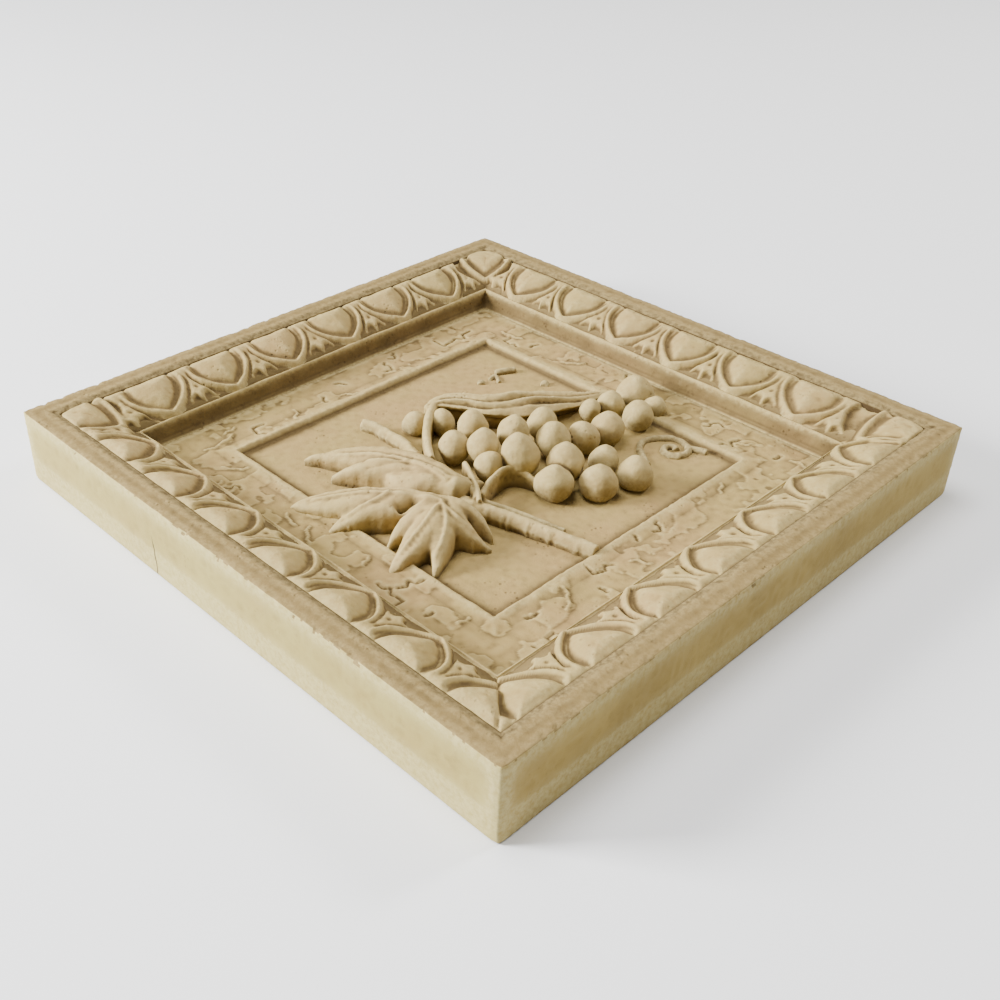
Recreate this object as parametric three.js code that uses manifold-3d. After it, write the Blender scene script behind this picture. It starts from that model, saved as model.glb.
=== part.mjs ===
// A square cast wall plaque: a flat rim, an egg-and-dart moulding that slopes inwards, a cove, a plain
// band, a thin bead, and a sunk panel with a bunch of grapes, two vine leaves, a branch and a tendril.
// Millimetres. The plaque lies on its flat back, the carved face is +Z, and +Y is up when it hangs.
// The origin is the middle of the back.

import * as THREE from 'three';
import { mergeVertices } from 'three/addons/utils/BufferGeometryUtils.js';
import Module from 'manifold-3d';

// ---- driving dimensions ----

const SIZE = 300;
const THICKNESS = 35.5;
const HALF = SIZE / 2;

// Widths across the frame, each counted in from the outer edge.
const EDGE_ROUNDING = 0.8;
const RIM_WIDTH = 8.3;
const BEVEL_END = 12.4;
const MOULDING_START = 12.8;
const MOULDING_END = 36.2;
const FILLET_END = 38.8;
const COVE_END = 44;
const BEAD_MIDDLE = 67.8;
const BEAD_HALF_WIDTH = 1.7;

// Depths below the rim.
const BEVEL_DEPTH = 1.3;
const MOULDING_TOP_DEPTH = 3.2;
const MOULDING_FOOT_DEPTH = 9.8;
const FILLET_DEPTH = 9;
const COVE_DEPTH = 18.6;
const BAND_DEPTH = 20;
const BEAD_DEPTH = 18;
const PANEL_DEPTH = 21.7;

const PANEL = THICKNESS - PANEL_DEPTH;

// Egg and dart. It was laid out by eye, so each side has its own first egg and its own pitch.
const EGG_RUNS = [
  { turn: 0, first: -123.4, pitch: 36.4, eggs: 7 },
  { turn: Math.PI / 2, first: -105, pitch: 37, eggs: 7 },
  { turn: Math.PI, first: -93, pitch: 35.6, eggs: 6 },
  { turn: 3 * Math.PI / 2, first: -93, pitch: 36.5, eggs: 6 },
];
const CORNERS_WITH_AN_EGG = [Math.PI / 2, Math.PI, 3 * Math.PI / 2];
const LAST_DART = 130;
const EGG_WIDTH = 19;
const EGG_LENGTH = 18.5;
const EGG_CROWN = 5.2;
const SHELL_WIDTH = 27.5;
const SHELL_LENGTH = 22.4;
const SHELL_RIDGE = 5;
const SHELL_CROWN = 3.4;
const DART_LENGTH = 19.5;
const DART_FOOT = 12.5;
const DART_CROWN = 2.6;
const BELOW_RIM = 0.4;

// How far every raised form is rooted in what carries it.
const ROOT = 2.5;
const PANEL_ROOT = PANEL - ROOT;

const MERGE_WITHIN = 1e-4;

// ---- the plain frame: depth below the rim, by the distance in from the outer edge ----

const PROFILE = [
  [EDGE_ROUNDING, 0],
  [RIM_WIDTH, 0],
  [BEVEL_END, BEVEL_DEPTH],
  [MOULDING_START, MOULDING_TOP_DEPTH],
  [MOULDING_END, MOULDING_FOOT_DEPTH],
  [MOULDING_END + 0.9, FILLET_DEPTH],
  [FILLET_END, FILLET_DEPTH + 0.6],
  [FILLET_END + 0.8, COVE_DEPTH - 4.2],
  [FILLET_END + 2.2, COVE_DEPTH - 1.3],
  [COVE_END, COVE_DEPTH],
  [BEAD_MIDDLE - BEAD_HALF_WIDTH, BAND_DEPTH],
  [BEAD_MIDDLE - BEAD_HALF_WIDTH / 2, BEAD_DEPTH + 0.4],
  [BEAD_MIDDLE, BEAD_DEPTH],
  [BEAD_MIDDLE + BEAD_HALF_WIDTH / 2, BEAD_DEPTH + 0.5],
  [BEAD_MIDDLE + BEAD_HALF_WIDTH, PANEL_DEPTH],
];

// The slope that carries the egg and dart. Nothing on it stands higher than the rim.
function onMoulding(x, y, lift) {
  const inset = HALF - Math.max(Math.abs(x), Math.abs(y));
  const share = (inset - MOULDING_START) / (MOULDING_END - MOULDING_START);
  const depth = MOULDING_TOP_DEPTH + share * (MOULDING_FOOT_DEPTH - MOULDING_TOP_DEPTH);
  return [x, y, THICKNESS - Math.max(depth - lift, BELOW_RIM)];
}

// ---- solids ----

const wasm = await Module();
wasm.setup();

// The solid of a closed geometry, turned the right way out.
function solidFrom(geometry) {
  geometry.deleteAttribute('normal');
  geometry.deleteAttribute('uv');
  const merged = mergeVertices(geometry, MERGE_WITHIN);
  const places = merged.attributes.position.array;
  const corner = (i) => new THREE.Vector3().fromArray(places, 3 * i);
  const faces = [];
  let volume = 0;
  for (let i = 0; i < merged.index.count; i += 3) {
    const face = [0, 1, 2].map((k) => merged.index.array[i + k]);
    if (new Set(face).size === 3) {
      faces.push(face);
      volume += corner(face[0]).dot(corner(face[1]).cross(corner(face[2])));
    }
  }
  return new wasm.Manifold(new wasm.Mesh({
    numProp: 3,
    vertProperties: new Float32Array(places),
    triVerts: new Uint32Array(faces.flatMap((face) => (volume < 0 ? face.reverse() : face))),
  }));
}

// A closed skin over rings of points: each ring is joined to the next, and the two ends are capped.
function loft(rings) {
  const positions = rings.flat(2);
  const count = rings[0].length;
  const index = [];
  for (let start = 0; start < (rings.length - 1) * count; start += count) {
    for (let i = 0; i < count; i++) {
      const a = start + i;
      const b = start + (i + 1) % count;
      index.push(a, b, b + count, a, b + count, a + count);
    }
  }
  const cap = (start, flip) => {
    const hub = positions.length / 3;
    const middle = new THREE.Vector3();
    for (let i = 0; i < count; i++) {
      const a = start + i;
      const b = start + (i + 1) % count;
      middle.add(new THREE.Vector3().fromArray(positions, 3 * a));
      index.push(hub, flip ? b : a, flip ? a : b);
    }
    positions.push(...middle.divideScalar(count).toArray());
  };
  cap(0, true);
  cap((rings.length - 1) * count, false);
  const geometry = new THREE.BufferGeometry();
  geometry.setAttribute('position', new THREE.Float32BufferAttribute(positions, 3));
  geometry.setIndex(index);
  return solidFrom(geometry);
}

// The square body: the profile goes round four mitred corners.
function frameBody() {
  const toCorner = Math.SQRT2;
  const outline = [
    new THREE.Vector2(0, 0),
    new THREE.Vector2(HALF * toCorner, 0),
    new THREE.Vector2(HALF * toCorner, THICKNESS - EDGE_ROUNDING),
    ...PROFILE.map(([inset, depth]) => new THREE.Vector2((HALF - inset) * toCorner, THICKNESS - depth)),
    new THREE.Vector2(0, PANEL),
  ];
  const geometry = new THREE.LatheGeometry(outline, 4);
  geometry.rotateX(Math.PI / 2);
  geometry.rotateZ(Math.PI / 4);
  return solidFrom(geometry);
}

// ---- egg and dart ----

// A run of the moulding turns a place along a side and in from the outer edge into a point on the slope.
function sideRun(turn, along) {
  return (u, inset, lift) => {
    const flat = new THREE.Vector2(along + u, HALF - inset).rotateAround(new THREE.Vector2(), turn);
    return onMoulding(flat.x, flat.y, lift);
  };
}

// On a mitre the unit lies along the diagonal, a little longer than on the sides.
function cornerRun(turn) {
  const reach = 1.2;
  return (u, inset, lift) => {
    const fromCorner = (MOULDING_START * Math.SQRT2) + (inset - MOULDING_START) * reach;
    const flat = new THREE.Vector2(u, HALF * Math.SQRT2 - fromCorner);
    flat.rotateAround(new THREE.Vector2(), turn + Math.PI / 4);
    return onMoulding(flat.x, flat.y, lift);
  };
}

// Half the width of the pointed shape that egg and shell share, from its open top (0) to its tip (1).
function pointedHalfWidth(width, share) {
  return (width / 2) * Math.sin(Math.PI * (0.28 + 0.72 * share)) ** 0.75;
}

function egg(run) {
  const sides = 7;
  const middle = MOULDING_START + 0.2 + EGG_LENGTH / 2;
  const ring = (scale, lift) => Array.from({ length: sides }, (_, i) => {
    const angle = (i / sides) * 2 * Math.PI;
    const towardsTip = (1 - Math.cos(angle)) / 2;
    const u = (EGG_WIDTH / 2) * Math.sin(angle) * (1 - 0.15 * towardsTip);
    const down = -(EGG_LENGTH / 2) * Math.cos(angle) + 1.5 * towardsTip ** 4;
    return run(u * scale, middle + down * scale, lift);
  });
  return loft([ring(1.1, -ROOT), ring(0.8, EGG_CROWN * 0.72), ring(0.38, EGG_CROWN)]);
}

// A ridge that stands on the slope along a path of points [u, inset].
function ridge(run, path, width, crown) {
  const rings = path.map(([u, inset], i) => {
    const [fromU, fromInset] = path[Math.max(0, i - 1)];
    const [toU, toInset] = path[Math.min(path.length - 1, i + 1)];
    const across = new THREE.Vector2(-(toInset - fromInset), toU - fromU).setLength(width / 2);
    const point = (share, lift) => run(u + across.x * share, inset + across.y * share, lift);
    return [point(-1, -ROOT), point(-0.45, crown), point(0.45, crown), point(1, -ROOT)];
  });
  return loft(rings);
}

function shell(run, openAt) {
  const steps = 3;
  const arm = Array.from({ length: steps }, (_, i) => {
    const share = openAt + (1 - openAt) * (i / steps);
    return [pointedHalfWidth(SHELL_WIDTH, share), MOULDING_START + SHELL_LENGTH * share];
  });
  const tip = [0, MOULDING_START + SHELL_LENGTH];
  const otherArm = arm.map(([u, inset]) => [-u, inset]).reverse();
  return ridge(run, [...arm, tip, ...otherArm], SHELL_RIDGE, SHELL_CROWN);
}

// The dart between two shells: a thin shaft that opens into a foot of three points.
function dart(run) {
  const foot = MOULDING_END;
  const top = foot - DART_LENGTH;
  const half = [
    [0.9, top],
    [DART_FOOT / 2, foot - 0.6],
    [DART_FOOT / 5, foot - 3.2],
  ];
  const outline = [...half, [0, foot], ...half.map(([u, inset]) => [-u, inset]).reverse()];
  const ring = (scale, lift) => outline.map(([u, inset]) => run(u * scale, inset, lift));
  return loft([ring(1, -ROOT), ring(0.7, DART_CROWN)]);
}

function eggAndDart() {
  const pieces = [];
  for (const { turn, first, pitch, eggs } of EGG_RUNS) {
    for (let i = 0; i < eggs; i++) {
      const run = sideRun(turn, first + i * pitch);
      pieces.push(egg(run), shell(run, 0.06));
    }
    for (let i = 0; i <= eggs; i++) {
      const along = first + (i - 0.5) * pitch;
      if (Math.abs(along) < LAST_DART) pieces.push(dart(sideRun(turn, along)));
    }
  }
  for (const turn of CORNERS_WITH_AN_EGG) {
    pieces.push(egg(cornerRun(turn)), shell(cornerRun(turn), 0.45));
  }
  return pieces;
}

// ---- the vine in the panel ----

// A raised form along a curve over the ground: a rounded back, edges that drop, and sides that go down
// into the ground. widthAt gives the half width, drop how far the edges lie below the back, and foot how
// wide the sides still are at the ground.
function raised(points, widthAt, drop, steps, foot = 1) {
  const curve = new THREE.CatmullRomCurve3(points.map((p) => new THREE.Vector3(...p)));
  const rings = [];
  for (let i = 0; i <= steps; i++) {
    const share = i / steps;
    const middle = curve.getPoint(share);
    const ahead = curve.getTangent(share);
    const across = new THREE.Vector2(-ahead.y, ahead.x).setLength(widthAt(share));
    const point = (side, z) => [middle.x + across.x * side, middle.y + across.y * side, z];
    const half = [[-foot, PANEL_ROOT], [-1, middle.z - drop], [-0.55, middle.z - drop * 0.3]];
    const otherHalf = half.map(([side, z]) => [-side, z]).reverse();
    rings.push([...half, [0, middle.z], ...otherHalf].map(([side, z]) => point(side, z)));
  }
  return loft(rings);
}

// One lobe of a leaf, from its hub to its tip: broad in the middle and pointed at the end.
function lobe(points, width) {
  const widthAt = (share) => (width / 2) * Math.max(0.1, Math.sin(Math.PI * (0.2 + 0.8 * share)) ** 0.8);
  return raised(points, widthAt, width * 0.16, 5);
}

const LOW_LEAF_HUB = [-24, 53, 30];
const HIGH_LEAF_HUB = [-14, 40, 29];
const LEAF_LOBES = [
  [[LOW_LEAF_HUB, [-29, 72, 27], [-36, 91, 18]], 21],
  [[LOW_LEAF_HUB, [-37, 66, 25], [-48, 79, 17]], 15],
  [[LOW_LEAF_HUB, [-38, 54, 24], [-49, 51, 16]], 15],
  [[LOW_LEAF_HUB, [-33, 46, 25], [-41, 42, 16]], 10],
  [[LOW_LEAF_HUB, [-20, 68, 26], [-22, 82, 19]], 15],
  [[LOW_LEAF_HUB, [4, 66, 26], [20, 77, 22], [31, 93, 17]], 23],
  [[[-8, 60, 26], [1, 74, 23], [3, 92, 17]], 18],
  [[HIGH_LEAF_HUB, [18, 38, 26], [40, 46, 21], [56, 61, 16]], 24],
  [[[4, 42, 26], [22, 51, 22], [36, 61, 16]], 14],
  [[HIGH_LEAF_HUB, [0, 48, 27], [11, 55, 21]], 18],
];

// Each grape: where it lies, how high its middle stands above the panel, and its radius.
const GRAPES = [
  [-40, 1, 8, 8.5],
  [-53, -14, 8, 8.3],
  [-59, -32, 7, 8],
  [-42, -31, 6, 7],
  [-36, -11, 12, 8.6],
  [-20, 1, 14, 8.9],
  [-13, 14, 10, 6.5],
  [-2, 6, 13, 7.2],
  [10, 13, 9, 7],
  [-19, -22, 12, 7.8],
  [-25, -36, 10, 7.4],
  [13, -2, 13, 7.2],
  [-5, -10, 15, 7.2],
  [-7, -28, 12, 7],
  [-27, -51, 9, 7.7],
  [-28, -73, 7, 7.4],
  [-14, -92, 9, 9.2],
  [-29, -88, 6, 6.2],
  [-13, -72, 8, 6.8],
  [-9, -60, 7, 6],
  [31, 0, 8, 6],
  [41, 8, 5, 6.5],
];

// A grape is a rounded cone, a little taller than wide, rooted in the panel.
function grape([x, y, lift, radius]) {
  const sides = 8;
  const ring = (scale, z) => Array.from({ length: sides }, (_, i) => {
    const angle = (i / sides) * 2 * Math.PI;
    return [x + radius * scale * Math.cos(angle), y + radius * scale * Math.sin(angle), z];
  });
  const middle = PANEL + lift;
  const height = radius * 1.12;
  return loft([
    ring(0.85, PANEL_ROOT),
    ring(1, middle),
    ring(0.84, middle + height * 0.55),
    ring(0.4, middle + height * 0.95),
  ]);
}

// The curled edge of the leaf behind the bunch, from its free tip round the curl and along the bunch.
function curledLeaf() {
  const path = [
    [17, 22, 19], [29, 12, 25], [35, -4, 27], [28, -14, 26], [24, -27, 24],
    [17, -44, 23], [7, -58, 22], [0, -72, 21], [-1, -88, 18],
  ];
  return raised(path, (share) => 1.6 + 4.6 * Math.sin(Math.PI * share) ** 0.7, 3, 13);
}

// Round wood: the branch in two lengths, and the thin stems.
function stem(points, radius, steps) {
  return raised(points, () => radius, radius * 0.8, steps, 0.6);
}

function stems() {
  return [
    stem([[-20, 41, 23], [-40, 33, 21], [-57, 28, 20.5], [-84, 22, 20]], 3.8, 5),
    stem([[30, 22, 20], [45, 22, 19], [60, 24, 18]], 3.4, 3),
    stem([[-24, 31, 19], [-42, 24, 17.5], [-62, 18, 16]], 1.6, 3),
    stem([[-27, 36, 24], [-21, 17, 25], [-25, 10, 25], [-33, 4, 23]], 1.6, 4),
    stem([[2, 14, 20], [-11, 23, 22], [-23, 36, 24]], 1.8, 3),
  ];
}

const TENDRIL_RIDGE = 1.5;
const TENDRIL_TOP = PANEL + 2.2;
const COIL_MIDDLE = [-53, -70];
const COIL_RADIUS = 4.4;

function tendril() {
  const stalk = [[-53, -48], [-44, -54], [-40, -63], [-43, -73]].map(([x, y]) => [x, y, TENDRIL_TOP]);
  const coil = Array.from({ length: 9 }, (_, i) => {
    const turn = -2.4 + i * 0.75;
    const radius = COIL_RADIUS * (1 - i / 16);
    const x = COIL_MIDDLE[0] - radius * Math.cos(turn);
    return [x, COIL_MIDDLE[1] + radius * Math.sin(turn), TENDRIL_TOP];
  });
  const end = [[-56, -74], [-62, -78], [-64, -84]].map(([x, y]) => [x, y, TENDRIL_TOP]);
  return [stem(stalk, TENDRIL_RIDGE, 4), stem(coil, TENDRIL_RIDGE, 9), stem(end, TENDRIL_RIDGE, 2)];
}

// Small lumps left in the panel beyond the bunch.
function lumps() {
  return [
    stem([[48, -66, PANEL + 3], [54, -60, PANEL + 3]], 1.8, 1),
    stem([[51, -50, PANEL + 1.5], [54, -47, PANEL + 1.5]], 2.2, 1),
    stem([[50, -58, PANEL + 1.5], [52, -55, PANEL + 1.5]], 2.2, 1),
    stem([[29, -74, PANEL + 1.8], [32, -70, PANEL + 1.8]], 2.6, 1),
  ];
}

// ---- the finished casting ----

function castMesh(name, pieces, material) {
  let whole = frameBody();
  for (const piece of pieces) whole = whole.add(piece);
  const { vertProperties, triVerts } = whole.getMesh();
  const geometry = new THREE.BufferGeometry();
  geometry.setAttribute('position', new THREE.BufferAttribute(vertProperties, 3));
  geometry.setIndex(new THREE.BufferAttribute(triVerts, 1));
  geometry.computeVertexNormals();
  const mesh = new THREE.Mesh(geometry, material);
  mesh.name = name;
  return mesh;
}

const castPlaster = new THREE.MeshStandardMaterial({ color: 0xc8b491, roughness: 0.85, metalness: 0 });

const pieces = [
  ...eggAndDart(),
  ...LEAF_LOBES.map(([points, width]) => lobe(points, width)),
  ...GRAPES.map(grape),
  curledLeaf(),
  ...stems(),
  ...tendril(),
  ...lumps(),
];

const plaque = new THREE.Group();
plaque.add(castMesh('plaque', pieces, castPlaster));

export default plaque;
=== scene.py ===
# A square cast wall plaque: a flat rim, an egg-and-dart moulding, a plain band with a bead, and a vine in
# low relief in the sunk panel. The casting is one piece. Its surface is built here in parts that overlap
# under the skin: the body, the moulding, the cove, the field, and the vine's leaves, grapes and stems.

import math

import bmesh
import bpy
import numpy as np
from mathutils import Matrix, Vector


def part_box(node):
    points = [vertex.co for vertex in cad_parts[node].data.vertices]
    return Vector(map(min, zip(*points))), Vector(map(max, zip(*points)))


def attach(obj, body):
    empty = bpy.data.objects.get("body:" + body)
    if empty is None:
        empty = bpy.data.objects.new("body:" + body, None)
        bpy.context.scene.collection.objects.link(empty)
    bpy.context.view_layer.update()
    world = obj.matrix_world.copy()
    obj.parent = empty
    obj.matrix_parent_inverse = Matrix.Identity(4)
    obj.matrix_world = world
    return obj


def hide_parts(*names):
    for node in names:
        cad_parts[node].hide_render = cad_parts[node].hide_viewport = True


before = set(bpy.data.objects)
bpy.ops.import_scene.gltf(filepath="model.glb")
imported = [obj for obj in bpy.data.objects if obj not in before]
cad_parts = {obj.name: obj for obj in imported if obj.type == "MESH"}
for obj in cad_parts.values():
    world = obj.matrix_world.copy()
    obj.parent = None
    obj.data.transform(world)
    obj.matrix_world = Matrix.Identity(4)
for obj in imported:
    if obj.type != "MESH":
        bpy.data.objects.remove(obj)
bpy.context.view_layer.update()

# ---- sizes, in millimetres; a mesh is turned into metres as it is made ----

MM = 0.001
high_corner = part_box("plaque")[1]
HALF = high_corner.x / MM
TOP = high_corner.z / MM - 0.05

THICKNESS = 35.5
ROUNDING = 0.8
RIM_WIDTH = 8.3
BEVEL_END = 12.4
BEVEL_DEPTH = 1.3
MOULDING_START = 12.8
MOULDING_END = 36.2
MOULDING_WIDTH = MOULDING_END - MOULDING_START
MOULDING_TOP_DEPTH = 1.7
MOULDING_FOOT_DEPTH = 9.3
FILLET_END = 38.3
FILLET_DEPTH = 9.4
COVE_END = 41.2
COVE_DEPTH = 18.6
BEAD_MIDDLE = 67.8
BEAD_HALF_WIDTH = 1.5
BAND_DEPTH = 19.7
BEAD_DEPTH = 18.5
PANEL_DEPTH = 21.7
PANEL = THICKNESS - PANEL_DEPTH
HIDDEN = 8.0  # the level at which the parts end, out of sight inside the body
BAND_LEVEL_UP_TO = 60.5
SIDE_SKIN = 1.6
SIDE_CRACK = 47
MERGE_DISTANCE = 1e-7
FAR = 1e9
# The height that stands for no ornament, well below any ground.
NO_ORNAMENT = -5

# How finely the parts are divided: points along one side, lines across the field, and the step of a sheet.
RIM_POINTS = 260
MOULDING_POINTS = 540
FIELD_LINES = 306
SHEET_STEP = 0.4

# Egg and dart: for each side its first egg, its pitch and how many eggs.
EGG_ROWS = [(-123.4, 36.4, 7), (-105.0, 37.0, 7), (-93.0, 35.6, 6), (-93.0, 36.5, 6)]
CORNERS_WITH_AN_EGG = [1, 2, 3]
EGG_CROWN = 4.0
EGG_GROOVE = 3.1
SHELL_HALF_WIDTH = 15.2
SHELL_LENGTH = 23.0
SHELL_STRAIGHT = 5.0
SHELL_CROWN = 2.3
DART_CROWN = 1.9
DEEP_GROUND = 1.2
EGG_SHEET_HALF = 17.6
DART_SHEET_HALF = 8

# Wear: rounds of averaging, and how many millimetres off its neighbours' mean a point counts in full.
WEAR_REACHES = ((8, 0.16), (40, 0.5))
NOISE_VALUES = 4096


# ---- mesh and noise helpers ----

def noise(places, size, seed):
    """Smooth noise between -1 and 1 at each place, in lumps of the given size."""
    table = np.random.default_rng(seed).uniform(-1, 1, NOISE_VALUES)
    cell = np.atleast_2d(places) / size
    whole = np.floor(cell).astype(np.int64)
    part = cell - whole
    part = part * part * (3 - 2 * part)
    total = np.zeros(len(cell))
    for corner in np.ndindex(2, 2, 2):
        key = whole + corner
        index = (key[:, 0] * 73856093) ^ (key[:, 1] * 19349663) ^ (key[:, 2] * 83492791)
        weight = np.prod(np.where(corner, part, 1 - part), axis=1)
        total += weight * table[index % NOISE_VALUES]
    return total


def ease(low, high, value):
    share = np.clip((value - low) / (high - low), 0, 1)
    return share * share * (3 - 2 * share)


def plain_mesh(name, places_mm, edges, faces):
    mesh = bpy.data.meshes.new(name)
    mesh.from_pydata((np.asarray(places_mm) * MM).tolist(), edges, faces)
    return mesh


def make_mesh(name, places_mm, faces):
    """A mesh from points in millimetres, with its doubles merged and its faces turned outwards."""
    mesh = plain_mesh(name, places_mm, [], faces)
    work = bmesh.new()
    work.from_mesh(mesh)
    bmesh.ops.remove_doubles(work, verts=work.verts, dist=MERGE_DISTANCE)
    bmesh.ops.recalc_face_normals(work, faces=work.faces)
    work.to_mesh(mesh)
    work.free()
    return mesh


def new_piece(name, mesh):
    piece = bpy.data.objects.new(name, mesh)
    bpy.context.scene.collection.objects.link(piece)
    return piece


def vectors(items, key):
    flat = np.empty(len(items) * 3, np.float32)
    items.foreach_get(key, flat)
    return flat.reshape(-1, 3).astype(float)


def places_of(mesh):
    """The mesh's points, in millimetres."""
    return vectors(mesh.vertices, "co") / MM


def set_places(mesh, places_mm):
    mesh.vertices.foreach_set("co", (places_mm * MM).astype(np.float32).ravel())
    mesh.update()


def store(mesh, name, values, number=np.float32):
    """Keeps a number for each point under a name."""
    attribute = mesh.attributes.new(name, "FLOAT" if number == np.float32 else "INT", "POINT")
    attribute.data.foreach_set("value", values.astype(number))


def inset_of(places):
    """How far inside the plaque's outline each place lies."""
    return HALF - np.abs(places[:, :2]).max(axis=1)


def grid_faces(rows, columns, rows_close=False, columns_close=False):
    """Faces over points that lie row by row; where rows or columns close, the last joins the first."""
    faces = []
    for r in range(rows if rows_close else rows - 1):
        for c in range(columns if columns_close else columns - 1):
            here, below, beside = r * columns, (r + 1) % rows * columns, (c + 1) % columns
            faces.append((here + c, here + beside, below + beside, below + c))
    return faces


def smoothed(mesh, values, times, strength=0.5):
    """The values after some rounds in which each point moves towards the mean of its neighbours."""
    ends = np.empty(len(mesh.edges) * 2, np.int32)
    mesh.edges.foreach_get("vertices", ends)
    ends = ends.reshape(-1, 2)
    near, far = np.vstack([ends, ends[:, ::-1]]).T
    count = len(mesh.vertices)
    degree = np.maximum(np.bincount(near, minlength=count), 1)[:, None]
    for _ in range(times):
        sums = np.column_stack([np.bincount(near, column[far], count) for column in values.T])
        values = values + strength * (sums / degree - values)
    return values


def roughen(mesh, lumps):
    """Moves the skin in and out along its normals: each lump is (size, height, seed)."""
    places = places_of(mesh)
    lift = sum(height * noise(places, size, seed) for size, height, seed in lumps)
    set_places(mesh, places + vectors(mesh.vertex_normals, "vector") * lift[:, None])


def write_wear_and_painted_shade(mesh, extra_wash_and_painted_shade=None):
    """Stores how deep in a hollow, and how far out on an edge, each point lies, for the finish to read; any
    extra darkening passed in, mostly painted shade, is added to the hollows.
    """
    places = places_of(mesh)
    normals = vectors(mesh.vertex_normals, "vector")
    hollow, worn = np.zeros((2, len(places)))
    for times, reach in WEAR_REACHES:
        sunk = np.sum((smoothed(mesh, places, times, 0.7) - places) * normals, axis=1) / reach
        hollow = np.maximum(hollow, np.clip(sunk, 0, 1))
        worn = np.maximum(worn, np.clip(-sunk, 0, 1))
    if extra_wash_and_painted_shade is not None:
        hollow = np.maximum(hollow, extra_wash_and_painted_shade(places))
    store(mesh, "hollow", hollow)
    store(mesh, "worn", worn)


# ---- the frame's profile ----

def slope_height(inset):
    """The height of the slope that carries the egg and dart."""
    share = (inset - MOULDING_START) / MOULDING_WIDTH
    depth = MOULDING_TOP_DEPTH + share * (MOULDING_FOOT_DEPTH - MOULDING_TOP_DEPTH)
    return THICKNESS - depth


def ring_mesh(name, stops, points):
    """A closed band round the plaque. Each stop is an inset from the outline, a height, and the number of
    rows to the next stop; a row runs round all four sides."""
    rows = np.array([
        (inset + (next_inset - inset) * i / steps, height + (next_height - height) * i / steps)
        for (inset, height, steps), (next_inset, next_height, _) in zip(stops, stops[1:] + stops[:1])
        for i in range(steps)
    ])
    share = np.arange(points) / points * 2 - 1
    square = []
    for turn in range(4):
        cosine, sine = math.cos(turn * math.pi / 2), math.sin(turn * math.pi / 2)
        square.append(np.column_stack([-share * cosine - sine, -share * sine + cosine]))
    square = np.vstack(square)
    places = np.empty((len(rows), len(square), 3))
    places[..., :2] = (HALF - rows[:, 0])[:, None, None] * square
    places[..., 2] = rows[:, 1][:, None]
    return make_mesh(name, places.reshape(-1, 3), grid_faces(len(rows), len(square), True, True))


# ---- the body: back, sides and rim ----

def make_body():
    bevel_height = THICKNESS - BEVEL_DEPTH
    mesh = ring_mesh("body", [
        (HALF, 0, 1),
        (HALF * 0.66, 0, 1),
        (HALF * 0.3, 0, 1),
        (ROUNDING, 0, 1),
        (0, ROUNDING, 24),
        (0, THICKNESS - ROUNDING, 1),
        (ROUNDING * 0.3, THICKNESS - ROUNDING * 0.3, 1),
        (ROUNDING, THICKNESS, 9),
        (RIM_WIDTH, THICKNESS, 1),
        (RIM_WIDTH + 1.2, THICKNESS - 0.15, 4),
        (BEVEL_END, bevel_height, 1),
        (BEVEL_END + 0.4, bevel_height - 2.5, 1),
        (BEVEL_END + 0.4, HIDDEN, 1),
        (HALF, HIDDEN, 1),
    ], RIM_POINTS)
    places = places_of(mesh)
    # Worn edges: the outer corners are rubbed round and chipped, never built up.
    from_side = inset_of(places)
    from_rim = THICKNESS - places[:, 2]
    edge = np.exp(-((from_side + from_rim) / 1.6) ** 2)
    mitre = np.abs(np.abs(places[:, 0]) - np.abs(places[:, 1]))
    upright_edge = np.exp(-((mitre + from_side * 2) / 2.2) ** 2)
    knocked = np.where(places[:, 1] > 0, 1.0, 0.3)
    chips = ease(0.25, 0.75, noise(places, 3.1, 11)) * 0.9 * knocked
    chips += ease(0.35, 0.8, noise(places, 8.0, 12)) * 0.9 * knocked
    chips += 0.25 + 0.2 * noise(places, 1.4, 13)
    inward = places * [1, 1, 0]
    inward /= np.maximum(np.linalg.norm(inward, axis=1), 1e-6)[:, None]
    bite = (edge * chips)[:, None]
    places -= inward * bite * 0.9
    places[:, 2] -= bite[:, 0] * 0.7
    places -= inward * (upright_edge * (0.7 + chips * 0.6))[:, None]
    # The sides and the rim are slightly uneven.
    unevenness = 0.16 * np.abs(noise(places, 22, 14)) + 0.10 * np.abs(noise(places, 4.5, 15))
    side_skin = (from_side < 0.4) & (places[:, 2] > 1)
    places[side_skin] -= (inward * unevenness[:, None])[side_skin]
    rim_skin = (from_rim < BEVEL_DEPTH + 0.1) & (from_side >= 0.4)
    places[rim_skin, 2] -= unevenness[rim_skin] * 1.6
    set_places(mesh, places)

    def caught_under_moulding(spots):
        line = np.exp(-((inset_of(spots) - BEVEL_END) / 0.7) ** 2)
        return line * ease(0.0, 0.45, noise(spots, 3.6, 16) + 0.3 * noise(spots, 11, 17))

    write_wear_and_painted_shade(mesh, caught_under_moulding)
    return new_piece("body", mesh)


def finish_body(mesh):
    """Picks each face's finish: the rim, the sides, the back, and the side facing -X, which gets a warmer,
    browner copy of the side finish as painted shade.
    """
    rim, side, back, painted_shade_side = range(4)
    for face in mesh.polygons:
        if face.normal.z < -0.5:
            face.material_index = back
        elif face.normal.z < 0.5 and face.center.z > 0:
            inset = HALF - max(abs(face.center.x), abs(face.center.y)) / MM
            # The side facing -X takes the browner copy of the side finish: painted shade.
            outer = painted_shade_side if face.normal.x < -0.5 else side
            face.material_index = outer if inset < SIDE_SKIN else rim


# ---- the egg and dart ----

def distance_to_path(points, path):
    """The distance of each point to a path of straight steps."""
    nearest = np.full(len(points), FAR)
    for start, end in zip(path[:-1], path[1:]):
        along = end - start
        share = np.clip((points - start) @ along / (along @ along), 0, 1)
        nearest = np.minimum(nearest, np.linalg.norm(points - start - share[:, None] * along, axis=1))
    return nearest


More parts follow.
